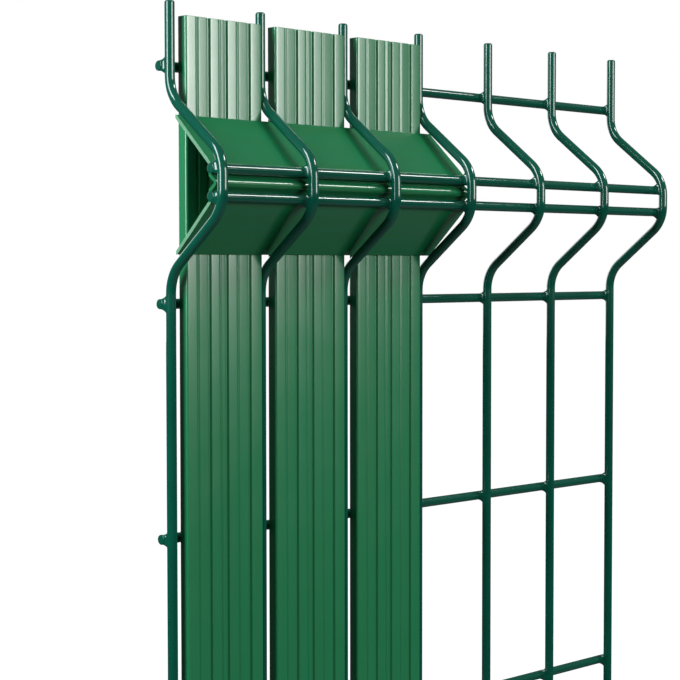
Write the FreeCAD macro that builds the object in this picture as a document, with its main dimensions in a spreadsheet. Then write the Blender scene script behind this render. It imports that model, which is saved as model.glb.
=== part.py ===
import FreeCAD, Part
import math
import os
import re
import Sketcher

# Welded mesh fence panel with a fold near its top and another near its foot.
# Upright wires stand at an even pitch and are bent forward together in each fold.
# Level wires are welded behind them, and two more run inside each fold.
# Hollow ribbed slats stand between the first uprights, in front of the level wires.
# A bent strip closes each fold in front of the slats, with its nose between the two fold wires.
# The origin is the centre of the middle upright's lower end. +X runs along the panel,
# the folds stand out towards -Y, and +Z is up. Lengths are in millimetres.

os.makedirs("parts", exist_ok=True)
doc = FreeCAD.newDocument("mesh_fence_panel")

SIZES = {
    # Wire and grid
    "wire_diameter": 4.4,
    "wire_pitch": 50,
    "bay_count": 6,
    "row_pitch": 100,
    "row_count": 11,
    "foot_length": 3,
    "barb_length": 27,
    "barb_bevel": 0.8,
    "end_overhang": 3,
    "weld_sink": 0.25,
    # Folds, each halfway between the last row below it and the next
    "low_fold_row_count": 2,
    "high_fold_row_count": 10,
    "fold_depth": 34.6,
    "fold_mouth": 91,
    "fold_flat": 6,
    "bend_radius": 16,
    "fold_wire_spacing": 11.5,
    # Slats
    "slatted_bays": 3,
    "slat_thickness": 6,
    "slat_wall": 1,
    "slat_web": 2,
    "slat_corner": 1.6,
    "slat_top_drop": 6,
    "slat_foot_lift": 2,
    "slat_left_gap": 3.1,
    "slat_right_gap": 0.3,
    "slat_back_gap": 0.2,
    "left_rib": 12.4,
    "second_rib": 9.5,
    "right_rib": 7.5,
    "groove_mouth": 1.7,
    "groove_floor": 0.9,
    "groove_depth": 0.8,
    "flute_width": 1.8,
    "flute_depth": 0.25,
    "second_flute": 6.1,
    # Strip that closes a fold
    "strip_sheet": 1.3,
    "strip_mouth": 59,
    "strip_shoulder": 16,
    "strip_nose_length": 4.4,
    "strip_nose_radius": 1.8,
    "strip_bend": 2,
    "strip_slat_gap": 0.2,
    "strip_wire_gap": 0.3,
    "strip_nose_gap": 0.2,
    "strip_left_reach": 0.5,
    "strip_right_reach": 2.5,
}

sheet = doc.addObject("Spreadsheet::Sheet", "Sizes")
for row, (alias, value) in enumerate(SIZES.items(), start=1):
    sheet.set(f"A{row}", alias)
    sheet.set(f"B{row}", str(value))
    sheet.setAlias(f"B{row}", alias)
doc.recompute()


def bound(expression):
    """The expression with each size name pointing at the sheet."""
    return re.sub(r"[a-z]+(_[a-z]+)+", lambda name: "Sizes." + name.group(), expression)


def size(expression):
    """The value that the expression has now."""
    return float(sheet.evalExpression(bound(expression)))


# Places that several pieces share, each worked out from the sizes
LEFT_WIRE_X = "(-bay_count * wire_pitch / 2)"
PANEL_HEIGHT = "(foot_length + (row_count - 1) * row_pitch + barb_length)"
LEVEL_WIRE_Y = "(wire_diameter - weld_sink)"
LOW_FOLD_Z = "(foot_length + (low_fold_row_count - 1/2) * row_pitch)"
HIGH_FOLD_Z = "(foot_length + (high_fold_row_count - 1/2) * row_pitch)"
BEND_INSIDE = "(bend_radius - wire_diameter + weld_sink)"
FOLD_WIRE_STEP = "((fold_wire_spacing - fold_flat) / 2)"
FOLD_WIRE_Y = f"(bend_radius - fold_depth - sqrt({BEND_INSIDE}^2 - {FOLD_WIRE_STEP}^2))"
SLAT_BACK_Y = f"({LEVEL_WIRE_Y} - wire_diameter / 2 - slat_back_gap)"
SLAT_FRONT_Y = f"({SLAT_BACK_Y} - slat_thickness)"
SLAT_WIDTH = "(wire_pitch - wire_diameter - slat_left_gap - slat_right_gap)"

# Eight-sided bar that stands for a wire: half its width over flats, and half of one side
BAR_HALF = "(wire_diameter / 2)"
BAR_HALF_SIDE = "(wire_diameter / 2 * (sqrt(2) - 1))"

# How close an edge lies to the place where it is looked for
SAME_PLACE = 0.01


def add_body(name):
    """An empty body whose label names its file."""
    body = doc.addObject("PartDesign::Body", name)
    body.Label = name
    body.AllowCompound = True
    return body


def add_sketch(body, name, plane, lift="0"):
    """A sketch on one of the body's own planes, lifted along the plane's normal."""
    sketch = body.newObject("Sketcher::SketchObject", name)
    support = next(item for item in body.Origin.OriginFeatures if item.Role == plane)
    sketch.AttachmentSupport = [(support, "")]
    sketch.MapMode = "FlatFace"
    sketch.setExpression("AttachmentOffset.Base.z", bound(lift))
    return sketch


def origin_axis(body, role):
    """One of the body's own axes, as a pattern's direction."""
    return (next(item for item in body.Origin.OriginFeatures if item.Role == role), [""])


def hold(sketch, name, kind, geometry, point, expression):
    """Ties a point to the sketch's origin, along X or along Y."""
    rule = Sketcher.Constraint(kind, -1, 1, geometry, point, size(expression))
    index = sketch.addConstraint(rule)
    sketch.renameConstraint(index, name)
    sketch.setExpression(f"Constraints.{name}", bound(expression))


def hold_radius(sketch, name, geometry, expression):
    """Ties the radius of an arc or a circle."""
    index = sketch.addConstraint(Sketcher.Constraint("Radius", geometry, size(expression)))
    sketch.renameConstraint(index, name)
    sketch.setExpression(f"Constraints.{name}", bound(expression))


def draw_circle(sketch, name, across, up, radius):
    """A circle with its centre and radius tied to the sizes."""
    centre = FreeCAD.Vector(size(across), size(up), 0)
    circle = Part.Circle(centre, FreeCAD.Vector(0, 0, 1), size(radius))
    geometry = sketch.addGeometry(circle, False)
    hold(sketch, f"{name}_across", "DistanceX", geometry, 3, across)
    hold(sketch, f"{name}_up", "DistanceY", geometry, 3, up)
    hold_radius(sketch, f"{name}_radius", geometry, radius)


def draw_outline(sketch, name, corners):
    """A closed outline of straight sides, with every corner tied to the sizes."""
    points = [FreeCAD.Vector(size(across), size(up), 0) for across, up in corners]
    sides = [
        sketch.addGeometry(Part.LineSegment(start, end), False)
        for start, end in zip(points, points[1:] + points[:1])
    ]
    for side, following in zip(sides, sides[1:] + sides[:1]):
        sketch.addConstraint(Sketcher.Constraint("Coincident", side, 2, following, 1))
    for number, (side, (across, up)) in enumerate(zip(sides, corners), start=1):
        hold(sketch, f"{name}_across_{number}", "DistanceX", side, 1, across)
        hold(sketch, f"{name}_up_{number}", "DistanceY", side, 1, up)


def draw_bar(sketch, name, across, up):
    """An eight-sided bar's section, as wide over its flats as the wire is thick."""
    wide, narrow = BAR_HALF, BAR_HALF_SIDE
    steps = [
        (wide, f"-{narrow}"), (wide, narrow), (narrow, wide), (f"-{narrow}", wide),
        (f"-{wide}", narrow), (f"-{wide}", f"-{narrow}"),
        (f"-{narrow}", f"-{wide}"), (narrow, f"-{wide}"),
    ]
    draw_outline(sketch, name, [(f"{across} + {dx}", f"{up} + {dy}") for dx, dy in steps])


def draw_rounded_box(sketch, name, left, right, low, high, radius):
    """An upright box with four equal rounded corners."""
    x0, x1, y0, y1, r = size(left), size(right), size(low), size(high), size(radius)
    quarter = math.pi / 2
    straights = [
        ((x0 + r, y0), (x1 - r, y0)),
        ((x1, y0 + r), (x1, y1 - r)),
        ((x1 - r, y1), (x0 + r, y1)),
        ((x0, y1 - r), (x0, y0 + r)),
    ]
    corners = [(x1 - r, y0 + r), (x1 - r, y1 - r), (x0 + r, y1 - r), (x0 + r, y0 + r)]
    sides = []
    rounds = []
    for number, ((start, end), corner) in enumerate(zip(straights, corners)):
        side = Part.LineSegment(FreeCAD.Vector(*start, 0), FreeCAD.Vector(*end, 0))
        circle = Part.Circle(FreeCAD.Vector(*corner, 0), FreeCAD.Vector(0, 0, 1), r)
        arc = Part.ArcOfCircle(circle, (number - 1) * quarter, number * quarter)
        sides.append(sketch.addGeometry(side, False))
        rounds.append(sketch.addGeometry(arc, False))
    for number, side in enumerate(sides):
        following = sides[(number + 1) % 4]
        sketch.addConstraint(Sketcher.Constraint("Tangent", side, 2, rounds[number], 1))
        sketch.addConstraint(Sketcher.Constraint("Tangent", rounds[number], 2, following, 1))
        direction = "Horizontal" if number % 2 == 0 else "Vertical"
        sketch.addConstraint(Sketcher.Constraint(direction, side))
    for other in rounds[1:]:
        sketch.addConstraint(Sketcher.Constraint("Equal", rounds[0], other))
    hold_radius(sketch, f"{name}_radius", rounds[0], radius)
    hold(sketch, f"{name}_low", "DistanceY", sides[0], 1, low)
    hold(sketch, f"{name}_right", "DistanceX", sides[1], 1, right)
    hold(sketch, f"{name}_high", "DistanceY", sides[2], 1, high)
    hold(sketch, f"{name}_left", "DistanceX", sides[3], 1, left)


class WireRoute:
    """A wire's centre line in an upright sketch: straights and bends, each tangent to the last.

    The heading is the angle from upright towards the front.
    """

    def __init__(self, sketch, radius):
        self.sketch = sketch
        self.radius = radius
        self.across = 0
        self.up = 0
        self.heading = 0
        self.last = None
        self.bends = []

    def add(self, shape, first, final):
        """Puts a piece in the sketch and joins its first end to the piece before."""
        geometry = self.sketch.addGeometry(shape, False)
        if self.last is None:
            rule = Sketcher.Constraint("Coincident", geometry, first, -1, 1)
        else:
            rule = Sketcher.Constraint("Tangent", *self.last, geometry, first)
        self.sketch.addConstraint(rule)
        self.last = (geometry, final)
        return geometry

    def straight(self, length):
        """A straight run along the heading. An upright one is held upright."""
        start = FreeCAD.Vector(self.across, self.up, 0)
        self.across -= length * math.sin(self.heading)
        self.up += length * math.cos(self.heading)
        end = FreeCAD.Vector(self.across, self.up, 0)
        geometry = self.add(Part.LineSegment(start, end), 1, 2)
        if abs(self.heading) < SAME_PLACE:
            self.sketch.addConstraint(Sketcher.Constraint("Vertical", geometry))
        return geometry

    def bend(self, turn):
        """An arc that turns the heading, towards the front where the turn is positive."""
        side = math.copysign(self.radius, turn)
        centre_across = self.across - side * math.cos(self.heading)
        centre_up = self.up - side * math.sin(self.heading)
        begin = self.heading
        self.heading += turn
        self.across = centre_across + side * math.cos(self.heading)
        self.up = centre_up + side * math.sin(self.heading)
        centre = FreeCAD.Vector(centre_across, centre_up, 0)
        circle = Part.Circle(centre, FreeCAD.Vector(0, 0, 1), self.radius)
        if turn > 0:
            geometry = self.add(Part.ArcOfCircle(circle, begin, self.heading), 1, 2)
        else:
            arc = Part.ArcOfCircle(circle, self.heading + math.pi, begin + math.pi)
            geometry = self.add(arc, 2, 1)
        self.bends.append(geometry)
        return geometry


def draw_folded_route(sketch, fold_levels, top):
    """Centre line of one upright, from its foot through each fold to its tip.

    In a fold the wire leaves its plane on a bend, runs forward on a straight leg,
    turns upright again for the fold's flat, and comes back the same way.
    """
    radius = size("bend_radius")
    forward = size("fold_depth") - 2 * radius
    rise = size("(fold_mouth - fold_flat) / 2")
    leg = math.sqrt(forward**2 + rise**2 - (2 * radius) ** 2)
    lean = math.atan2(forward, rise) + math.atan2(2 * radius, leg)

    route = WireRoute(sketch, radius)
    for number, level in enumerate(fold_levels, start=1):
        run = route.straight(size(f"{level} - fold_mouth / 2") - route.up)
        route.bend(lean)
        route.straight(leg)
        route.bend(-lean)
        flat = route.straight(size("fold_flat"))
        route.bend(-lean)
        route.straight(leg)
        back = route.bend(lean)
        route.heading = 0
        hold(sketch, f"fold_{number}_foot", "DistanceY", run, 2, f"{level} - fold_mouth / 2")
        hold(sketch, f"fold_{number}_flat_low", "DistanceY", flat, 1, f"{level} - fold_flat / 2")
        hold(sketch, f"fold_{number}_flat_high", "DistanceY", flat, 2, f"{level} + fold_flat / 2")
        hold(sketch, f"fold_{number}_depth", "DistanceX", flat, 1, "-fold_depth")
        hold(sketch, f"fold_{number}_head", "DistanceY", back, 2, f"{level} + fold_mouth / 2")
    tip = route.straight(size(top) - route.up)
    sketch.addConstraint(Sketcher.Constraint("PointOnObject", tip, 2, -2))
    hold(sketch, "tip_height", "DistanceY", tip, 2, top)
    for other in route.bends[1:]:
        sketch.addConstraint(Sketcher.Constraint("Equal", route.bends[0], other))
    hold_radius(sketch, "bend_radius", route.bends[0], "bend_radius")


def add_pad(body, name, sketch, length, both_sides=False):
    """A pad of a sketch, either forward or half to each side."""
    pad = body.newObject("PartDesign::Pad", name)
    pad.Profile = sketch
    pad.Midplane = both_sides
    pad.setExpression("Length", bound(length))
    body.Tip = pad
    doc.recompute()
    return pad


def add_cut(body, name, sketch, length):
    """A pocket that runs upwards from its sketch through the body."""
    before = body.Shape.Volume
    pocket = body.newObject("PartDesign::Pocket", name)
    pocket.Profile = sketch
    pocket.Reversed = True
    pocket.setExpression("Length", bound(length))
    body.Tip = pocket
    doc.recompute()
    assert body.Shape.Volume < before, f"{name} cuts nothing"
    return pocket


def add_row(body, name, feature, axis, length, count):
    """Copies of a feature, evenly spread along one of the body's axes."""
    row = body.newObject("PartDesign::LinearPattern", name)
    row.Originals = [feature]
    row.Direction = origin_axis(body, axis)
    row.setExpression("Length", bound(length))
    row.setExpression("Occurrences", bound(count))
    body.Tip = row
    doc.recompute()
    return row


def dress_edges(body, kind, name, feature, chosen, measure, expression):
    """A fillet or chamfer on the edges of a feature that the test picks out."""
    names = [f"Edge{i}" for i, edge in enumerate(feature.Shape.Edges, start=1) if chosen(edge)]
    dress = body.newObject(kind, name)
    dress.Base = (feature, names)
    dress.setExpression(measure, bound(expression))
    body.Tip = dress
    doc.recompute()
    return dress


def round_edges(body, name, feature, chosen, radius):
    """A fillet on the chosen edges."""
    return dress_edges(body, "PartDesign::Fillet", name, feature, chosen, "Radius", radius)


def bevel_edges(body, name, feature, chosen, width):
    """A chamfer on the chosen edges."""
    return dress_edges(body, "PartDesign::Chamfer", name, feature, chosen, "Size", width)


def build_mesh():
    """The welded mesh: folded uprights, level wires behind them and two in each fold."""
    body = add_body("welded_mesh")

    route = add_sketch(body, "upright_route", "YZ_Plane", LEFT_WIRE_X)
    draw_folded_route(route, [LOW_FOLD_Z, HIGH_FOLD_Z], PANEL_HEIGHT)
    section = add_sketch(body, "upright_section", "XY_Plane")
    draw_bar(section, "wire", LEFT_WIRE_X, "0")
    doc.recompute()
    upright = body.newObject("PartDesign::AdditivePipe", "first_upright")
    upright.Profile = section
    upright.Spine = (route, [])
    body.Tip = upright
    doc.recompute()
    add_row(body, "uprights", upright, "X_Axis", "bay_count * wire_pitch", "bay_count + 1")

    wire_length = "bay_count * wire_pitch + 2 * end_overhang"
    level = add_sketch(body, "level_wire_section", "YZ_Plane")
    draw_bar(level, "wire", LEVEL_WIRE_Y, "foot_length")
    lowest = add_pad(body, "lowest_level_wire", level, wire_length, both_sides=True)
    add_row(body, "level_wires", lowest, "Z_Axis", "(row_count - 1) * row_pitch", "row_count")

    pair = add_sketch(body, "fold_wire_section", "YZ_Plane")
    for name, step in (("low", "-"), ("high", "+")):
        height = f"{LOW_FOLD_Z} {step} fold_wire_spacing / 2"
        draw_bar(pair, name, FOLD_WIRE_Y, height)
    low_pair = add_pad(body, "low_fold_wires", pair, wire_length, both_sides=True)
    spread = "(high_fold_row_count - low_fold_row_count) * row_pitch"
    fold_wires = add_row(body, "fold_wires", low_pair, "Z_Axis", spread, "2")

    tip_height = size(PANEL_HEIGHT)
    bevel_edges(
        body, "bevelled_tips", fold_wires,
        lambda edge: edge.BoundBox.ZMin > tip_height - SAME_PLACE,
        "barb_bevel",
    )
    return body


def build_slat(number):
    """One hollow slat: four chambers between webs, under four ribs front and back.

    A groove over each web parts the ribs, and a shallow flute runs down each of the first three,
    midway but for the second.
    """
    body = add_body(f"slat_{number}")
    grooves = ["left_rib", "(left_rib + second_rib)", f"({SLAT_WIDTH} - right_rib)"]
    height = f"{PANEL_HEIGHT} - slat_top_drop - slat_foot_lift"

    section = add_sketch(body, f"slat_{number}_section", "XY_Plane")
    draw_rounded_box(section, "outside", "0", SLAT_WIDTH, SLAT_FRONT_Y, SLAT_BACK_Y, "slat_corner")
    starts = ["slat_wall"] + [f"{groove} + slat_web / 2" for groove in grooves]
    ends = [f"{groove} - slat_web / 2" for groove in grooves] + [f"{SLAT_WIDTH} - slat_wall"]
    low, high = f"{SLAT_FRONT_Y} + slat_wall", f"{SLAT_BACK_Y} - slat_wall"
    for chamber, (left, right) in enumerate(zip(starts, ends), start=1):
        corners = [(left, low), (right, low), (right, high), (left, high)]
        draw_outline(section, f"chamber_{chamber}", corners)
    add_pad(body, f"slat_{number}_tube", section, height)

    cuts = add_sketch(body, f"slat_{number}_groove_section", "XY_Plane")
    for face, side, inward in (("front", SLAT_FRONT_Y, "+"), ("back", SLAT_BACK_Y, "-")):
        floor = f"{side} {inward} groove_depth"
        for count, groove in enumerate(grooves, start=1):
            draw_outline(cuts, f"{face}_groove_{count}", [
                (f"{groove} - groove_mouth / 2", side),
                (f"{groove} + groove_mouth / 2", side),
                (f"{groove} + groove_floor / 2", floor),
                (f"{groove} - groove_floor / 2", floor),
            ])
    add_cut(body, f"slat_{number}_grooves", cuts, height)

    hollows = add_sketch(body, f"slat_{number}_flute_section", "XY_Plane")
    flute_radius = "(flute_width^2 / 8 / flute_depth + flute_depth / 2)"
    flutes = ["left_rib / 2", "left_rib + second_flute", f"({grooves[1]} + {grooves[2]}) / 2"]
    for face, side, outward in (("front", SLAT_FRONT_Y, "-"), ("back", SLAT_BACK_Y, "+")):
        centre = f"{side} {outward} ({flute_radius} - flute_depth)"
        for count, flute in enumerate(flutes, start=1):
            draw_circle(hollows, f"{face}_flute_{count}", flute, centre, flute_radius)
    add_cut(body, f"slat_{number}_flutes", hollows, height)

    right_wire = f"{LEFT_WIRE_X} + {number} * wire_pitch"
    left_edge = f"{right_wire} - wire_diameter / 2 - slat_right_gap - {SLAT_WIDTH}"
    body.setExpression("Placement.Base.x", bound(left_edge))
    body.setExpression("Placement.Base.z", bound("slat_foot_lift"))
    return body


def build_strip(name, fold_level):
    """The bent strip in one fold: two flanges, a shoulder behind each fold wire, and a nose.

    The nose's length is measured to the sharp tip that its two straight flanks would meet in.
    """
    body = add_body(name)
    back = f"({SLAT_FRONT_Y} - strip_slat_gap)"
    shoulder = f"({FOLD_WIRE_Y} + wire_diameter / 2 + strip_wire_gap)"
    nose_half = "((fold_wire_spacing - wire_diameter) / 2 - strip_nose_gap)"
    nose_slope = f"({nose_half} / strip_nose_length)"
    nose_tip = f"({shoulder} - strip_nose_length)"
    hollow_tip = f"({nose_tip} + strip_sheet * sqrt(1 + 1 / {nose_slope}^2))"
    slope = f"((strip_mouth - strip_shoulder) / 2 / ({back} - {shoulder}))"
    flange_drop = f"(strip_sheet * sqrt(1 + {slope}^2))"
    outer = [
        (back, "strip_mouth / 2"),
        (shoulder, "strip_shoulder / 2"),
        (shoulder, nose_half),
        (nose_tip, "0"),
    ]
    inner = [
        (hollow_tip, "0"),
        (f"{shoulder} + strip_sheet", f"({shoulder} + strip_sheet - {hollow_tip}) * {nose_slope}"),
        (f"{shoulder} + strip_sheet", f"strip_shoulder / 2 + strip_sheet * {slope} - {flange_drop}"),
        (back, f"strip_mouth / 2 - {flange_drop}"),
    ]

    def below(corners):
        return [(across, f"-({up})") for across, up in reversed(corners)]

    section = add_sketch(body, f"{name}_section", "YZ_Plane")
    draw_outline(section, "strip", outer + below(outer[:-1]) + below(inner[1:]) + inner)
    length = "slatted_bays * wire_pitch + strip_left_reach + strip_right_reach"
    feature = add_pad(body, f"{name}_sheet", section, length)

    def lengthwise_edge(corner):
        across, up = size(corner[0]), abs(size(corner[1]))

        def chosen(edge):
            middle = edge.CenterOfMass
            along = edge.BoundBox.XLength > size(length) - SAME_PLACE
            return along and math.hypot(middle.y - across, abs(middle.z) - up) < SAME_PLACE

        return chosen

    for place, corner, radius in (
        ("nose_outside", outer[3], "strip_nose_radius"),
        ("nose_inside", inner[0], "strip_nose_radius - strip_sheet"),
        ("shoulder_outside", outer[1], "strip_bend + strip_sheet"),
        ("shoulder_inside", inner[2], "strip_bend"),
    ):
        feature = round_edges(body, f"{name}_{place}", feature, lengthwise_edge(corner), radius)

    body.setExpression("Placement.Base.x", bound(f"{LEFT_WIRE_X} - strip_left_reach"))
    body.setExpression("Placement.Base.z", bound(fold_level))
    return body


bodies = [build_mesh()]
bodies += [build_slat(number) for number in range(1, int(size("slatted_bays")) + 1)]
bodies.append(build_strip("fold_strip_low", LOW_FOLD_Z))
bodies.append(build_strip("fold_strip_high", HIGH_FOLD_Z))
doc.recompute()

for item in doc.Objects:
    assert not {"Invalid", "Error"} & set(item.State), f"{item.Name} failed: {item.State}"
for body in bodies:
    assert not body.Shape.isNull() and body.Shape.isValid(), f"{body.Label} has no valid shape"
    assert len(body.Shape.Solids) == 1, f"{body.Label} is not one solid"
for body in bodies:
    body.Shape.exportStep(f"parts/{body.Label}.step")
    print(body.Label, round(body.Shape.Volume), "cubic millimetres")
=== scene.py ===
import math
import random

import bmesh
import bpy
from mathutils import Matrix, Vector
from mathutils.geometry import tessellate_polygon


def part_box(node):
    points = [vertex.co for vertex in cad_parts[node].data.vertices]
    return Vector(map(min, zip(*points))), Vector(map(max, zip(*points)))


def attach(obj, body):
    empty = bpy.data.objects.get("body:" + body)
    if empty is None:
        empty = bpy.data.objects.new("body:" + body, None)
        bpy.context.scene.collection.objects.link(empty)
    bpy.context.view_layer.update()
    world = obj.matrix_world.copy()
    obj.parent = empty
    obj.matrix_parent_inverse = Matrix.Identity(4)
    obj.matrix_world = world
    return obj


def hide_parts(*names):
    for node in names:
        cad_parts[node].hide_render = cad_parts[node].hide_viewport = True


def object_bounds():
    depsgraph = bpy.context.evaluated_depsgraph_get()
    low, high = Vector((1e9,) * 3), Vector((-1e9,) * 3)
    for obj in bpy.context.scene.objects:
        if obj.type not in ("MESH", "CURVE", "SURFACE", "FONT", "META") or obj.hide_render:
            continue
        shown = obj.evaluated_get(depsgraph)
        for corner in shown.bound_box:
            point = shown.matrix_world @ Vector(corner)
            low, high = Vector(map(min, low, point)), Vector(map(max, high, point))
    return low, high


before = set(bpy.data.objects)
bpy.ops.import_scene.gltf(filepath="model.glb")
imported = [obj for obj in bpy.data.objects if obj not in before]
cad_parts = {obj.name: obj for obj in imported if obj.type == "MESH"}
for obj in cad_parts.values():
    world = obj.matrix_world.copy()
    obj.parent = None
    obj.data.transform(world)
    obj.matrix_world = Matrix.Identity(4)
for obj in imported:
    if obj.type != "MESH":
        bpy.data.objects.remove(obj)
cad_low, cad_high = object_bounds()


# Upright wires
# Seven drawn steel wires at an even pitch, 4.4 mm thick over their coat and sheared to length.
# A press bends them forward together in two folds, and their tips stand clear above the top row.
MM = 0.001
WIRE_RADIUS = 2.2 * MM
WIRE_PITCH = 50 * MM
FOLD_LEVELS = (153 * MM, 953 * MM)
FOLD_DEPTH = 34.6 * MM
FOLD_MOUTH = 91 * MM
FOLD_FLAT = 6 * MM
BEND_RADIUS = 16 * MM
BEND_STEPS = 14
WIRE_SIDES = 28
TIP_ROUNDING = 0.9 * MM
CUT_ROUNDING = 0.35 * MM
ROUNDING_STEPS = 5
RUN_GUARD = 1 * MM
SHARP_ANGLE = math.radians(35)
COAT_THIN = (0.001, 0.054, 0.034, 1)
COAT_THICK = (0.002, 0.078, 0.048, 1)
COAT_ROUGHNESS = (0.07, 0.14)
COAT_RIPPLE_SCALE = 260.0
COAT_PEEL_SCALE = 1100.0
COAT_PEEL_SHARE = 0.18
COAT_THICKNESS_SCALE = 38.0
COAT_RELIEF = 0.03 * MM
COAT_RELIEF_STRENGTH = 0.26

mesh_low, mesh_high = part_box("welded_mesh")
bay_count = round((mesh_high.x - mesh_low.x) / WIRE_PITCH)
upright_places = [(number - bay_count / 2) * WIRE_PITCH for number in range(bay_count + 1)]


class BentWire:
    """Walks a wire's centre line in the panel's cross plane and keeps a station at each step."""

    def __init__(self, foot):
        self.place = Vector((0, 0, foot))
        self.lean = 0.0
        self.stations = []
        self.keep()

    def heading(self):
        """The way in which the wire runs here."""
        return Vector((0, -math.sin(self.lean), math.cos(self.lean)))

    def keep(self):
        """Keeps this place and heading as a station."""
        self.stations.append((self.place.copy(), self.heading()))

    def run(self, length):
        """A straight stretch, with a station near each end that keeps the bends' shading out."""
        start = self.place.copy()
        for distance in (RUN_GUARD, length - RUN_GUARD, length):
            self.place = start + self.heading() * distance
            self.keep()

    def bend(self, turn):
        """A bend through that turn, which leans the wire forward where it is positive."""
        side = Vector((0, -math.cos(self.lean), -math.sin(self.lean)))
        centre = self.place + side * math.copysign(BEND_RADIUS, turn)
        arm = self.place - centre
        first = self.lean
        for step in range(1, BEND_STEPS + 1):
            part = turn * step / BEND_STEPS
            self.place = centre + Matrix.Rotation(part, 3, "X") @ arm
            self.lean = first + part
            self.keep()


def upright_stations():
    """One upright from its foot through both folds to its tip."""
    forward = FOLD_DEPTH - 2 * BEND_RADIUS
    rise = (FOLD_MOUTH - FOLD_FLAT) / 2
    leg = math.sqrt(forward**2 + rise**2 - (2 * BEND_RADIUS) ** 2)
    lean = math.atan2(forward, rise) + math.atan2(2 * BEND_RADIUS, leg)
    wire = BentWire(mesh_low.z)
    for level in FOLD_LEVELS:
        wire.run(level - FOLD_MOUTH / 2 - wire.place.z)
        wire.bend(lean)
        wire.run(leg)
        wire.bend(-lean)
        wire.run(FOLD_FLAT)
        wire.bend(-lean)
        wire.run(leg)
        wire.bend(lean)
    wire.run(mesh_high.z - wire.place.z)
    return wire.stations


def cut_end_rings(end, inward, rounding):
    """Rings of a cut end, from the rim of its flat to the full wire."""
    rings = []
    for step in range(ROUNDING_STEPS + 1):
        angle = math.pi / 2 * step / ROUNDING_STEPS
        along = rounding * (1 - math.cos(angle))
        rings.append((end + inward * along, WIRE_RADIUS - rounding * (1 - math.sin(angle))))
    return rings


def add_round_wire(bm, stations, across, first_rounding, last_rounding):
    """A round wire along the stations, closed at its two cut ends."""
    first, first_heading = stations[0]
    last, last_heading = stations[-1]
    opening = cut_end_rings(first, first_heading, first_rounding)
    closing = cut_end_rings(last, -last_heading, last_rounding)
    rings = [(*ring, first_heading) for ring in opening]
    rings += [(centre, WIRE_RADIUS, heading) for centre, heading in stations[1:-1]]
    rings += [(*ring, last_heading) for ring in reversed(closing)]

    loops = []
    for centre, radius, heading in rings:
        other = heading.cross(across)
        loop = []
        for side in range(WIRE_SIDES):
            turn = 2 * math.pi * side / WIRE_SIDES
            loop.append(bm.verts.new(
                centre + (across * math.cos(turn) + other * math.sin(turn)) * radius
            ))
        loops.append(loop)
    join_loops(bm, loops)


def skin_loops(bm, loops):
    """Lays a skin of four-sided faces over a row of closed loops."""
    for loop, following in zip(loops, loops[1:]):
        for side in range(len(loop)):
            after = (side + 1) % len(loop)
            bm.faces.new((loop[side], loop[after], following[after], following[side]))


def join_loops(bm, loops):
    """Skins a row of closed loops and closes the first and the last."""
    skin_loops(bm, loops)
    bm.faces.new(list(reversed(loops[0])))
    bm.faces.new(loops[-1])


def finish_piece(bm, name, slot, material, *nodes):
    """Turns the mesh into a smooth shaded piece of the panel that stands for its CAD nodes."""
    bmesh.ops.recalc_face_normals(bm, faces=bm.faces)
    for face in bm.faces:
        face.smooth = True
    mesh = bpy.data.meshes.new(name)
    bm.to_mesh(mesh)
    bm.free()
    mesh.set_sharp_from_angle(angle=SHARP_ANGLE)
    mesh.materials.append(material)
    piece = bpy.data.objects.new(name, mesh)
    bpy.context.scene.collection.objects.link(piece)
    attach(piece, "root")
    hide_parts(*nodes)
    return piece


def put(tree, kind, inputs=(), **settings):
    """A shader node with its settings, and its inputs given as values or as links."""
    made = tree.nodes.new(kind)
    for name, value in settings.items():
        setattr(made, name, value)
    for name, value in dict(inputs).items():
        if isinstance(value, bpy.types.NodeSocket):
            tree.links.new(value, made.inputs[name])
        else:
            made.inputs[name].default_value = value
    return made


def new_finish(name):
    """A material with its tree, an empty Principled shader and the object's own coordinates."""
    material = bpy.data.materials.new(name)
    material.use_nodes = True
    tree = material.node_tree
    tree.nodes.clear()
    shader = put(tree, "ShaderNodeBsdfPrincipled")
    output = put(tree, "ShaderNodeOutputMaterial")
    tree.links.new(shader.outputs["BSDF"], output.inputs["Surface"])
    place = put(tree, "ShaderNodeTexCoord").outputs["Object"]
    return material, tree, shader, place


def new_effect(name, inputs, outputs):
    """A shader node group with named inputs and outputs, and its two end nodes."""
    tree = bpy.data.node_groups.new(name, "ShaderNodeTree")
    for label, kind in inputs:
        tree.interface.new_socket(label, in_out="INPUT", socket_type=kind)
    for label, kind in outputs:
        tree.interface.new_socket(label, in_out="OUTPUT", socket_type=kind)
    start = tree.nodes.new("NodeGroupInput")
    end = tree.nodes.new("NodeGroupOutput")
    return tree, start, end


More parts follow.
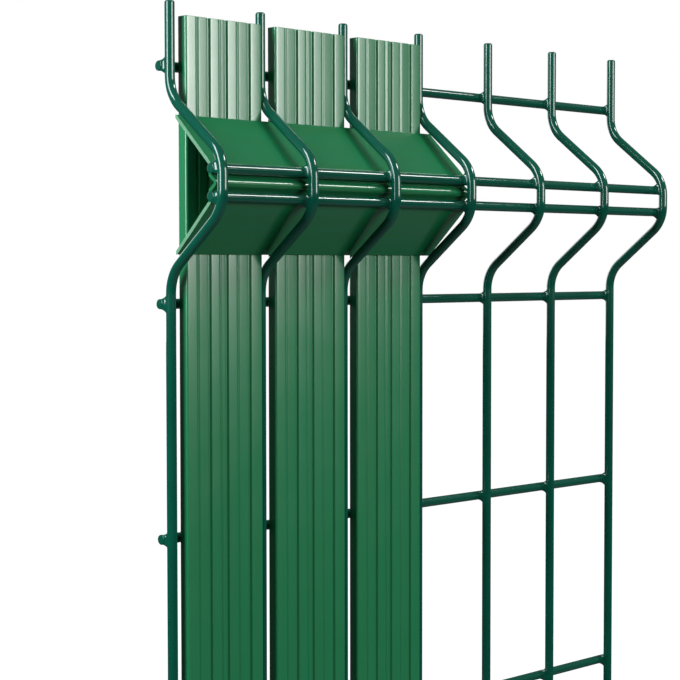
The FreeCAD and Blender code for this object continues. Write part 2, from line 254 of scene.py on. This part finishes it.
def coat_skin_effect():
    """Stoved powder coat: long low ripples, fine orange peel and slow changes of thickness."""
    tree, start, end = new_effect(
        "coat_skin",
        [
            ("Place", "NodeSocketVector"),
            ("Ripple Scale", "NodeSocketFloat"),
            ("Peel Scale", "NodeSocketFloat"),
        ],
        [("Height", "NodeSocketFloat"), ("Thickness", "NodeSocketFloat")],
    )
    place = start.outputs["Place"]
    ripple = put(tree, "ShaderNodeTexNoise", {
        "Vector": place, "Scale": start.outputs["Ripple Scale"], "Detail": 1.0, "Roughness": 0.4,
    })
    peel = put(tree, "ShaderNodeTexNoise", {
        "Vector": place, "Scale": start.outputs["Peel Scale"], "Detail": 1.0, "Roughness": 0.5,
    })
    height = put(tree, "ShaderNodeMath", {
        0: peel.outputs["Fac"], 1: COAT_PEEL_SHARE, 2: ripple.outputs["Fac"],
    }, operation="MULTIPLY_ADD")
    thickness = put(tree, "ShaderNodeTexNoise", {
        "Vector": place, "Scale": COAT_THICKNESS_SCALE, "Detail": 3.0,
    })
    tree.links.new(height.outputs[0], end.inputs["Height"])
    tree.links.new(thickness.outputs["Fac"], end.inputs["Thickness"])
    return tree


def coated_wire_finish():
    """Dark green gloss powder coat on steel wire."""
    material, tree, shader, place = new_finish("green_powder_coat")
    skin = put(tree, "ShaderNodeGroup", {
        "Place": place, "Ripple Scale": COAT_RIPPLE_SCALE, "Peel Scale": COAT_PEEL_SCALE,
    }, node_tree=coat_skin_effect())
    colour = put(tree, "ShaderNodeMix", {
        "Factor": skin.outputs["Thickness"], "A": COAT_THIN, "B": COAT_THICK,
    }, data_type="RGBA")
    gloss = put(tree, "ShaderNodeMapRange", {
        "Value": skin.outputs["Thickness"],
        "To Min": COAT_ROUGHNESS[0], "To Max": COAT_ROUGHNESS[1],
    })
    bump = put(tree, "ShaderNodeBump", {
        "Height": skin.outputs["Height"],
        "Strength": COAT_RELIEF_STRENGTH, "Distance": COAT_RELIEF,
    })
    tree.links.new(colour.outputs["Result"], shader.inputs["Base Color"])
    tree.links.new(gloss.outputs["Result"], shader.inputs["Roughness"])
    tree.links.new(bump.outputs["Normal"], shader.inputs["Normal"])
    return material


powder_coat = coated_wire_finish()

uprights = bmesh.new()
along_panel = Vector((1, 0, 0))
one_upright = upright_stations()
for upright_x in upright_places:
    stations = [(centre + along_panel * upright_x, heading) for centre, heading in one_upright]
    add_round_wire(uprights, stations, along_panel, CUT_ROUNDING, TIP_ROUNDING)
finish_piece(uprights, "upright_wires", "coated_wire", powder_coat, "welded_mesh")


# Level wires
# The same wire, laid across the uprights' backs in even rows and pressed into them by the weld.
# Two more run inside each fold, so that the bent uprights can't be pulled straight again.
ROW_PITCH = 100 * MM
ROW_COUNT = 11
FOOT_LENGTH = 3 * MM
WELD_SINK = 0.25 * MM
FOLD_WIRE_SPACING = 11.5 * MM

wire_step = 2 * WIRE_RADIUS - WELD_SINK
bend_inside = BEND_RADIUS - wire_step
fold_wire_step = (FOLD_WIRE_SPACING - FOLD_FLAT) / 2
fold_wire_y = BEND_RADIUS - FOLD_DEPTH - math.sqrt(bend_inside**2 - fold_wire_step**2)
row_levels = [mesh_low.z + FOOT_LENGTH + row * ROW_PITCH for row in range(ROW_COUNT)]

straight_up = Vector((0, 0, 1))
to_the_back = Vector((0, 1, 0))
crossings = [(Vector((0, wire_step, level)), straight_up, to_the_back) for level in row_levels]
for level in FOLD_LEVELS:
    for direction in (-1, 1):
        centre = Vector((0, fold_wire_y, level + direction * FOLD_WIRE_SPACING / 2))
        bend_centre = Vector((0, BEND_RADIUS - FOLD_DEPTH, level + direction * FOLD_FLAT / 2))
        outward = (bend_centre - centre).normalized()
        crossings.append((centre, along_panel.cross(outward), outward))

level_wires = bmesh.new()
level_stops = (mesh_low.x, mesh_low.x + RUN_GUARD, mesh_high.x - RUN_GUARD, mesh_high.x)
for centre, upright_way, outward in crossings:
    stations = [(centre + along_panel * stop, along_panel) for stop in level_stops]
    add_round_wire(level_wires, stations, outward, CUT_ROUNDING, CUT_ROUNDING)
finish_piece(level_wires, "level_wires", "coated_wire", powder_coat, "welded_mesh")


# Welds
# At every crossing the two wires are fused, and the coat runs into the corners between them.
# Each weld is a small collar that leaves one wire's surface and meets the other's.
WELD_SIDES = 28
WELD_STEPS = 6
WELD_FILLET = 1.5 * MM
WELD_SQUARENESS = 0.4
WELD_VARIATION = 0.18
WELD_ROOT = 0.5 * MM
WELD_MARGIN = 0.3 * MM
WELD_SEED = 11

weld_order = random.Random(WELD_SEED)


def squared(value):
    """Pushes a circle's sine or cosine out towards a square's."""
    return math.copysign(abs(value) ** WELD_SQUARENESS, value)


def kept_on_wires(place):
    """The place, or the nearest one that the cut wire ends leave for a weld."""
    return Vector((
        max(mesh_low.x + WELD_MARGIN, min(mesh_high.x - WELD_MARGIN, place.x)),
        place.y,
        max(mesh_low.z + WELD_MARGIN, place.z),
    ))


def add_weld(bm, centre, upright_way, outward):
    """One collar between an upright and the level wire whose centre line passes through centre."""
    fillet = WELD_FILLET * (1 + weld_order.uniform(-WELD_VARIATION, WELD_VARIATION))
    rest = wire_step - WIRE_RADIUS
    reach = math.sqrt((WIRE_RADIUS + fillet) ** 2 - (rest - fillet) ** 2)
    spread = math.atan2(reach, rest - fillet)
    upright_axis = centre - outward * wire_step

    def on_upright(turn):
        """A place on the collar's edge round the upright, and the wire's normal there."""
        angle = spread * squared(math.cos(turn))
        normal = along_panel * math.sin(angle) + outward * math.cos(angle)
        along = upright_way * reach * squared(math.sin(turn))
        return upright_axis + normal * WIRE_RADIUS + along, normal

    def on_level(turn):
        """The same on the collar's edge round the level wire."""
        angle = spread * squared(math.sin(turn))
        normal = upright_way * math.sin(angle) - outward * math.cos(angle)
        along = along_panel * reach * squared(math.cos(turn))
        return centre + normal * WIRE_RADIUS + along, normal

    columns = []
    for side in range(WELD_SIDES):
        turn = 2 * math.pi * (side + 0.5) / WELD_SIDES
        start, start_normal = on_upright(turn)
        end, end_normal = on_level(turn)
        chord = end - start
        leave = chord - start_normal * chord.dot(start_normal)
        arrive = chord - end_normal * chord.dot(end_normal)
        column = [start - start_normal * WELD_ROOT]
        for step in range(WELD_STEPS + 1):
            t = step / WELD_STEPS
            column.append(
                start * (2 * t**3 - 3 * t**2 + 1) + leave * (t**3 - 2 * t**2 + t)
                + end * (3 * t**2 - 2 * t**3) + arrive * (t**3 - t**2)
            )
        column.append(end - end_normal * WELD_ROOT)
        columns.append(column)
    loops = [
        [bm.verts.new(kept_on_wires(column[row])) for column in columns]
        for row in range(len(columns[0]))
    ]
    join_loops(bm, loops)


welds = bmesh.new()
for centre, upright_way, outward in crossings:
    for upright_x in upright_places:
        add_weld(welds, centre + along_panel * upright_x, upright_way, outward)
finish_piece(welds, "wire_welds", "coated_wire", powder_coat, "welded_mesh")


# Privacy slats
# Hollow ribbed boards of extruded plastic, sawn to length and pushed down between the uprights in
# front of the level wires. Four ribs with grooves between them show on each face.
RIB_WIDTHS = (12.4 * MM, 9.5 * MM, 12.8 * MM, 7.5 * MM)
FLUTE_PLACES = (0.49, 0.64, 0.49)
FLUTE_WIDTH = 1.9 * MM
FLUTE_DEPTH = 0.36 * MM
FLUTE_ROUNDING = 0.35 * MM
GROOVE_MOUTH = 2.1 * MM
GROOVE_FLOOR = 0.5 * MM
GROOVE_DEPTH = 0.8 * MM
LIP_ROUNDING = 0.3 * MM
FLOOR_ROUNDING = 0.2 * MM
RIB_CROWN = 0.13 * MM
SLAT_CORNER = 1.0 * MM
SLAT_WALL = 1.0 * MM
SLAT_WEB = 2.0 * MM
CHAMBER_ROUNDING = 0.35 * MM
SAWN_EDGE = 0.15 * MM
ROUND_STEPS = 6
FACE_STEP = 0.8 * MM
LINE_SPREAD = 0.3
LINE_RELIEF = 0.02 * MM
LINE_RELIEF_STRENGTH = 0.25
STREAK_RANGE = (0.35, 0.65)
MOTTLE_RANGE = (0.3, 0.7)
MOTTLE_SCALE = 55.0


def rounded_corners(corners):
    """A closed outline with each corner, given as place and radius, turned into an arc."""
    points = []
    for index, (corner, radius) in enumerate(corners):
        corner = Vector(corner)
        back = (Vector(corners[index - 1][0]) - corner).normalized()
        onward = (Vector(corners[(index + 1) % len(corners)][0]) - corner).normalized()
        half = math.acos(max(-1, min(1, back.dot(onward)))) / 2
        trim = radius / math.tan(half)
        centre = corner + (back + onward).normalized() * (radius / math.sin(half))
        start = corner + back * trim - centre
        end = corner + onward * trim - centre
        sweep = start.angle_signed(end)
        for step in range(ROUND_STEPS + 1):
            turned = Matrix.Rotation(-sweep * step / ROUND_STEPS, 2) @ start
            points.append(centre + turned)
    return points


def divided(points, longest):
    """The closed outline with points added, so that each side is no longer than that length."""
    finer = []
    for point, following in zip(points, points[1:] + points[:1]):
        count = max(1, math.ceil((following - point).length / longest))
        finer += [point.lerp(following, part / count) for part in range(count)]
    return finer


def slat_face_corners(face, inward):
    """Corners along one face of a slat from left to right, between its two round edges."""
    corners = []
    left = 0.0
    for number, rib in enumerate(RIB_WIDTHS):
        if number < len(FLUTE_PLACES):
            flute = left + rib * FLUTE_PLACES[number]
            corners += [
                ((flute - FLUTE_WIDTH / 2, face), FLUTE_ROUNDING),
                ((flute, face + inward * FLUTE_DEPTH), FLUTE_ROUNDING),
                ((flute + FLUTE_WIDTH / 2, face), FLUTE_ROUNDING),
            ]
            groove = left + rib
            corners += [
                ((groove - GROOVE_MOUTH / 2, face), LIP_ROUNDING),
                ((groove - GROOVE_FLOOR / 2, face + inward * GROOVE_DEPTH), FLOOR_ROUNDING),
                ((groove + GROOVE_FLOOR / 2, face + inward * GROOVE_DEPTH), FLOOR_ROUNDING),
                ((groove + GROOVE_MOUTH / 2, face), LIP_ROUNDING),
            ]
        left += rib
    return corners


def crown_drop(x):
    """How far a rib's face falls back at this place from the top of its crown."""
    left = 0.0
    for rib in RIB_WIDTHS:
        if x <= left + rib:
            return RIB_CROWN * (2 * (x - left) / rib - 1) ** 2
        left += rib
    return RIB_CROWN


def slat_outline(width, front, back):
    """The slat's outside, anticlockwise from its front left edge."""
    corners = [((0, front), SLAT_CORNER)]
    corners += slat_face_corners(front, 1)
    corners += [((width, front), SLAT_CORNER), ((width, back), SLAT_CORNER)]
    corners += reversed(slat_face_corners(back, -1))
    corners += [((0, back), SLAT_CORNER)]
    middle = (front + back) / 2
    outline = []
    for point in divided(rounded_corners(corners), FACE_STEP):
        near_face = 1 - abs(abs(point.y - middle) - (back - front) / 2) / SLAT_CORNER
        drop = crown_drop(point.x) * max(0, near_face)
        outline.append(Vector((point.x, point.y + math.copysign(drop, middle - point.y))))
    return outline


def slat_chambers(width, front, back):
    """The hollow chambers between the webs, each with small round corners."""
    webs = [sum(RIB_WIDTHS[:count]) for count in range(1, len(RIB_WIDTHS))]
    starts = [SLAT_WALL] + [web + SLAT_WEB / 2 for web in webs]
    ends = [web - SLAT_WEB / 2 for web in webs] + [width - SLAT_WALL]
    low, high = front + SLAT_WALL, back - SLAT_WALL
    return [
        rounded_corners([
            ((start, low), CHAMBER_ROUNDING), ((end, low), CHAMBER_ROUNDING),
            ((end, high), CHAMBER_ROUNDING), ((start, high), CHAMBER_ROUNDING),
        ])
        for start, end in zip(starts, ends)
    ]


def drawn_in(outline, distance):
    """The outline moved inwards, square to its own line at each point."""
    moved = []
    for index, point in enumerate(outline):
        along = outline[(index + 1) % len(outline)] - outline[index - 1]
        moved.append(point + Vector((-along.y, along.x)).normalized() * distance)
    return moved


def add_extrusion(bm, outline, holes, to_space, stops):
    """A bar of that section between two stops, with holes, and its sawn edges slightly broken."""
    first, last = stops
    outside = [
        (drawn_in(outline, SAWN_EDGE), first), (outline, first + SAWN_EDGE),
        (outline, last - SAWN_EDGE), (drawn_in(outline, SAWN_EDGE), last),
    ]
    skins = [outside] + [[(hole, first), (hole, last)] for hole in holes]
    rims = []
    for skin in skins:
        loops = [[bm.verts.new(to_space(point, stop)) for point in line] for line, stop in skin]
        skin_loops(bm, loops)
        rims.append((skin, loops))
    for end in (0, -1):
        lines = [[Vector((*point, 0)) for point in skin[end][0]] for skin, loops in rims]
        verts = [vert for skin, loops in rims for vert in loops[end]]
        for triangle in tessellate_polygon(lines):
            bm.faces.new([verts[index] for index in triangle])


def drawn_lines_effect():
    """Lengthwise lines and slow streaks that a die leaves on an extruded face."""
    tree, start, end = new_effect(
        "drawn_lines",
        [
            ("Place", "NodeSocketVector"),
            ("Line Scale", "NodeSocketVector"),
            ("Streak Scale", "NodeSocketVector"),
        ],
        [
            ("Lines", "NodeSocketFloat"),
            ("Streaks", "NodeSocketFloat"),
            ("Mottle", "NodeSocketFloat"),
        ],
    )
    place = start.outputs["Place"]
    for label, scale, detail in (("Lines", "Line Scale", 2.0), ("Streaks", "Streak Scale", 3.0)):
        stretched = put(tree, "ShaderNodeVectorMath", {
            0: place, 1: start.outputs[scale],
        }, operation="MULTIPLY")
        noise = put(tree, "ShaderNodeTexNoise", {
            "Vector": stretched.outputs[0], "Scale": 1.0, "Detail": detail, "Roughness": 0.55,
        })
        tree.links.new(noise.outputs["Fac"], end.inputs[label])
    mottle = put(tree, "ShaderNodeTexNoise", {
        "Vector": place, "Scale": MOTTLE_SCALE, "Detail": 3.0,
    })
    tree.links.new(mottle.outputs["Fac"], end.inputs["Mottle"])
    return tree


drawn_lines = drawn_lines_effect()


def extruded_plastic_finish(
    name, shine, drawn_way, line_scale, streak_scale, cool, warm, roughness,
):
    """Mid green extruded plastic whose fine lengthwise lines spread its soft gloss across them.

    The drawn way is the way that it left the die, tipped a little so that the sawn ends of the
    piece aren't quite square to it.
    """
    material, tree, shader, place = new_finish(name)
    lines = put(tree, "ShaderNodeGroup", {
        "Place": place, "Line Scale": line_scale, "Streak Scale": streak_scale,
    }, node_tree=drawn_lines)
    streaks = put(tree, "ShaderNodeMapRange", {
        "Value": lines.outputs["Streaks"],
        "From Min": STREAK_RANGE[0], "From Max": STREAK_RANGE[1],
    })
    colour = put(tree, "ShaderNodeMix", {
        "Factor": streaks.outputs["Result"], "A": (*cool, 1), "B": (*warm, 1),
    }, data_type="RGBA")
    gloss = put(tree, "ShaderNodeMapRange", {
        "Value": lines.outputs["Mottle"],
        "From Min": MOTTLE_RANGE[0], "From Max": MOTTLE_RANGE[1],
        "To Min": roughness[0], "To Max": roughness[1],
    })
    bump = put(tree, "ShaderNodeBump", {
        "Height": lines.outputs["Lines"],
        "Strength": LINE_RELIEF_STRENGTH, "Distance": LINE_RELIEF,
    })
    facing = put(tree, "ShaderNodeNewGeometry").outputs["Normal"]
    across = put(tree, "ShaderNodeVectorMath", {0: facing, 1: drawn_way}, operation="CROSS_PRODUCT")
    tree.links.new(colour.outputs["Result"], shader.inputs["Base Color"])
    tree.links.new(gloss.outputs["Result"], shader.inputs["Roughness"])
    tree.links.new(bump.outputs["Normal"], shader.inputs["Normal"])
    tree.links.new(across.outputs[0], shader.inputs["Tangent"])
    shader.inputs["Anisotropic"].default_value = LINE_SPREAD
    shader.inputs["Specular IOR Level"].default_value = shine
    return material


slat_plastic = extruded_plastic_finish(
    "green_slat_plastic",
    shine=1.0,
    drawn_way=(0.02, 0.03, 1),
    line_scale=(1100, 1100, 4),
    streak_scale=(420, 420, 9),
    cool=(0.007, 0.168, 0.066),
    warm=(0.01, 0.159, 0.056),
    roughness=(0.24, 0.27),
)

for slat_node in sorted(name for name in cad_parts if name.startswith("slat_")):
    slat_low, slat_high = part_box(slat_node)
    slat_width = slat_high.x - slat_low.x

    def stand_up(point, height):
        """Where a point of the slat's section stands at that height."""
        return Vector((slat_low.x + point.x, point.y, height))

    slat = bmesh.new()
    add_extrusion(
        slat, slat_outline(slat_width, slat_low.y, slat_high.y),
        slat_chambers(slat_width, slat_low.y, slat_high.y), stand_up, (slat_low.z, slat_high.z),
    )
    finish_piece(slat, f"privacy_{slat_node}", "slat_plastic", slat_plastic, slat_node)


# Fold strips
# A sheet of the same plastic, bent to the shape of the fold and slid in along it in front of the
# slats. Its nose stands out between the two fold wires. Its flanges' sawn ends are painted pale, a
# painted highlight for the light that their cut edges catch.
STRIP_SHEET = 1.3 * MM
STRIP_SHOULDER = 16 * MM
STRIP_NOSE_GAP = 0.2 * MM
STRIP_NOSE_LENGTH = 4.4 * MM
STRIP_NOSE_RADIUS = 1.8 * MM
STRIP_WIRE_GAP = 0.3 * MM
STRIP_BEND = 2 * MM
STRIP_EDGE = 0.3 * MM
# The strip's second finish is a painted highlight for the flanges' sawn ends.
END_FACING = 0.5
HIGHLIT_END_FINISH = 1


def strip_outline(half_mouth, back):
    """The strip's section about its fold's level: forward along x, up along y."""
    shoulder = -(fold_wire_y + WIRE_RADIUS + STRIP_WIRE_GAP)
    nose_half = FOLD_WIRE_SPACING / 2 - WIRE_RADIUS - STRIP_NOSE_GAP
    nose_slope = nose_half / STRIP_NOSE_LENGTH
    tip = shoulder + STRIP_NOSE_LENGTH
    hollow_tip = tip - STRIP_SHEET * math.sqrt(1 + 1 / nose_slope**2)
    hollow_half = (hollow_tip - shoulder + STRIP_SHEET) * nose_slope
    slope = (half_mouth - STRIP_SHOULDER / 2) / (shoulder - back)
    drop = STRIP_SHEET * math.sqrt(1 + slope**2)
    outer = [
        ((back, half_mouth), STRIP_EDGE),
        ((shoulder, STRIP_SHOULDER / 2), STRIP_BEND + STRIP_SHEET),
        ((shoulder, nose_half), STRIP_EDGE),
        ((tip, 0), STRIP_NOSE_RADIUS),
    ]
    inner = [
        ((hollow_tip, 0), STRIP_NOSE_RADIUS - STRIP_SHEET),
        ((shoulder - STRIP_SHEET, hollow_half), STRIP_EDGE),
        ((shoulder - STRIP_SHEET, STRIP_SHOULDER / 2 + STRIP_SHEET * slope - drop), STRIP_BEND),
        ((back, half_mouth - drop), STRIP_EDGE),
    ]
    lower_outer = [((x, -y), radius) for (x, y), radius in reversed(outer[:-1])]
    lower_inner = [((x, -y), radius) for (x, y), radius in reversed(inner[1:])]
    return rounded_corners(outer + lower_outer + lower_inner + inner)


strip_plastic = extruded_plastic_finish(
    "green_strip_plastic",
    shine=0.5,
    drawn_way=(1, 0.02, 0.03),
    line_scale=(4, 1100, 1100),
    streak_scale=(9, 300, 300),
    cool=(0.009, 0.147, 0.056),
    warm=(0.012, 0.14, 0.048),
    roughness=(0.17, 0.2),
)

# A pale finish that is a painted highlight: it stands in for the light that the flanges' cut edges
# catch.
pale_end_highlight_plastic = extruded_plastic_finish(
    "strip_end_painted_highlight",
    shine=0.5,
    drawn_way=(0, 0.03, 1),
    line_scale=(900, 900, 900),
    streak_scale=(300, 300, 300),
    cool=(0.1, 0.24, 0.14),
    warm=(0.13, 0.28, 0.17),
    roughness=(0.5, 0.6),
)


def paint_highlight_on_flange_ends(bm, level):
    """Gives the flanges' sawn ends the pale second finish, a painted highlight, and leaves the
    nose's end plain.
    """
    bm.normal_update()
    for face in bm.faces:
        at_end = abs(face.normal.x) > END_FACING
        on_flange = abs(face.calc_center_median().z - level) > STRIP_SHOULDER / 2
        if at_end and on_flange:
            face.material_index = HIGHLIT_END_FINISH


for strip_node, fold_level in zip(("fold_strip_low", "fold_strip_high"), FOLD_LEVELS):
    strip_low, strip_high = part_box(strip_node)

    def lay_along(point, place):
        """Where a point of the strip's section lies at that place along the panel."""
        return Vector((place, -point.x, fold_level + point.y))

    strip = bmesh.new()
    section = divided(strip_outline((strip_high.z - strip_low.z) / 2, -strip_high.y), FACE_STEP)
    add_extrusion(strip, section, [], lay_along, (strip_low.x, strip_high.x))
    paint_highlight_on_flange_ends(strip, fold_level)
    sheet = finish_piece(strip, f"{strip_node}_sheet", "strip_plastic", strip_plastic, strip_node)
    # The second material is the painted highlight on the flanges' sawn ends.
    sheet.data.materials.append(pale_end_highlight_plastic)


# Floor and surroundings
# A plain pale floor that keeps the panel's shadow and grows to white away from it, in a plain
# room that lights the panel as grey. Past the panel the camera sees that room as white.
FLOOR_REACH = 60.0
FLOOR_COLOUR = (0.62, 0.63, 0.64, 1)
FLOOR_BOUNCE = (0.2, 0.21, 0.22, 1)
LIFT_NEAR = 0.35
LIFT_FAR = 0.95
LIFT_START = 0.5
LIFT_END = 2.2
ROOM_COLOUR = (0.88, 0.98, 1.0, 1)
ROOM_LEVEL = 0.16


def seen_straight(tree):
    """A value of 1 for what the camera sees, also through clear things, and 0 for all else."""
    path = put(tree, "ShaderNodeLightPath")
    return put(tree, "ShaderNodeMath", {
        0: path.outputs["Is Camera Ray"], 1: path.outputs["Is Transmission Ray"],
    }, operation="MAXIMUM").outputs[0]


def floor_finish():
    """Pale matt floor, lifted towards white for the eye alone."""
    material = bpy.data.materials.new("pale_floor")
    material.use_nodes = True
    tree = material.node_tree
    tree.nodes.clear()
    place = put(tree, "ShaderNodeNewGeometry").outputs["Position"]
    away = put(tree, "ShaderNodeVectorMath", {0: place}, operation="LENGTH")
    lift = put(tree, "ShaderNodeMapRange", {
        "Value": away.outputs["Value"], "From Min": LIFT_START, "From Max": LIFT_END,
        "To Min": LIFT_NEAR, "To Max": LIFT_FAR,
    })
    seen = seen_straight(tree)
    strength = put(tree, "ShaderNodeMath", {
        0: lift.outputs["Result"], 1: seen,
    }, operation="MULTIPLY")
    shade = put(tree, "ShaderNodeMix", {
        "Factor": seen, "A": FLOOR_BOUNCE, "B": FLOOR_COLOUR,
    }, data_type="RGBA")
    matt = put(tree, "ShaderNodeBsdfDiffuse", {"Color": shade.outputs["Result"]})
    glow = put(tree, "ShaderNodeEmission", {"Strength": strength.outputs[0]})
    both = put(tree, "ShaderNodeAddShader", {0: matt.outputs[0], 1: glow.outputs[0]})
    output = put(tree, "ShaderNodeOutputMaterial")
    tree.links.new(both.outputs[0], output.inputs["Surface"])
    return material


floor_mesh = bmesh.new()
reach = FLOOR_REACH / 2
floor_corners = [(-reach, -reach), (reach, -reach), (reach, reach), (-reach, reach)]
floor_mesh.faces.new([floor_mesh.verts.new((x, y, cad_low.z)) for x, y in floor_corners])
floor_data = bpy.data.meshes.new("floor")
floor_mesh.to_mesh(floor_data)
floor_mesh.free()
floor_data.materials.append(floor_finish())
floor = bpy.data.objects.new("floor", floor_data)
bpy.context.scene.collection.objects.link(floor)

room = bpy.data.worlds.new("room")
bpy.context.scene.world = room
room.use_nodes = True
room_tree = room.node_tree
room_tree.nodes.clear()
grey_room = put(room_tree, "ShaderNodeBackground", {"Color": ROOM_COLOUR, "Strength": ROOM_LEVEL})
white_room = put(room_tree, "ShaderNodeBackground", {"Color": (1, 1, 1, 1), "Strength": 1.0})
room_mix = put(room_tree, "ShaderNodeMixShader", {
    0: seen_straight(room_tree), 1: grey_room.outputs[0], 2: white_room.outputs[0],
})
room_out = put(room_tree, "ShaderNodeOutputWorld")
room_tree.links.new(room_mix.outputs[0], room_out.inputs["Surface"])


# Lights
# A compact soft box looks down from the front right, and a wide one further off shows in the
# slats' tops. A narrow cool one stands at the left, and a wide weak one lights the panel's back.
panel_heart = Vector((-0.05, 0, 0))


def add_soft_box(name, azimuth, distance, foot, lean, width, height, radiance, colour):
    """A soft box that faces the panel and leans over it, with its lower edge at the foot's height.

    Angles are in degrees. Azimuth 0 is in front of the panel and 90 to its right.
    """
    angle = math.radians(azimuth)
    tilt = math.radians(lean)
    way = Vector((math.sin(angle), -math.cos(angle), 0))
    upward = straight_up * math.cos(tilt) - way * math.sin(tilt)
    backward = way * math.cos(tilt) + straight_up * math.sin(tilt)
    lamp = bpy.data.lights.new(name, "AREA")
    lamp.shape = "RECTANGLE"
    lamp.size = width
    lamp.size_y = height
    lamp.color = colour
    lamp.energy = radiance * math.pi * width * height
    box = bpy.data.objects.new(name, lamp)
    bpy.context.scene.collection.objects.link(box)
    turned = Matrix((upward.cross(backward), upward, backward)).transposed().to_4x4()
    centre = panel_heart + way * distance + straight_up * foot + upward * height / 2
    box.matrix_world = Matrix.Translation(centre) @ turned
    box.visible_camera = False


add_soft_box(
    "main_soft_box", azimuth=52, distance=1.1, foot=1.64, lean=45,
    width=0.46, height=0.17, radiance=31.0, colour=(1, 1, 0.98),
)
add_soft_box(
    "low_soft_box", azimuth=21.5, distance=2.2, foot=0.985, lean=0,
    width=1.2, height=0.7, radiance=12.0, colour=(1, 1, 0.97),
)
add_soft_box(
    "left_strip", azimuth=-91, distance=0.95, foot=0.93, lean=0,
    width=0.34, height=1.1, radiance=18.0, colour=(0.86, 1, 1),
)
add_soft_box(
    "back_fill", azimuth=168, distance=1.9, foot=0.8, lean=15,
    width=1.6, height=1.2, radiance=2.6, colour=(1, 1, 1),
)


# Camera
# The photograph's viewing angle, fitted to it: near the panel and left of it, about level with
# the upper fold and turned to the right. Yaw, down and roll are in degrees, the lens in mm.
CAMERA_PLACE = (-0.5857, -0.5632, 0.9188)
CAMERA_YAW = 43.462
CAMERA_DOWN = 2.503
CAMERA_ROLL = -0.064
CAMERA_LENS = 89.08

camera_data = bpy.data.cameras.new("camera")
camera_data.lens = CAMERA_LENS
camera_data.sensor_width = 36.0
camera_data.clip_start = 0.02
camera_data.clip_end = 200.0
camera = bpy.data.objects.new("camera", camera_data)
bpy.context.scene.collection.objects.link(camera)
turned_down = Matrix.Rotation(math.radians(90 - CAMERA_DOWN), 4, "X")
turned_aside = Matrix.Rotation(math.radians(-CAMERA_YAW), 4, "Z")
rolled = Matrix.Rotation(math.radians(CAMERA_ROLL), 4, "Z")
camera.matrix_world = Matrix.Translation(CAMERA_PLACE) @ turned_aside @ turned_down @ rolled
bpy.context.scene.camera = camera

bpy.context.scene.view_settings.view_transform = "Standard"
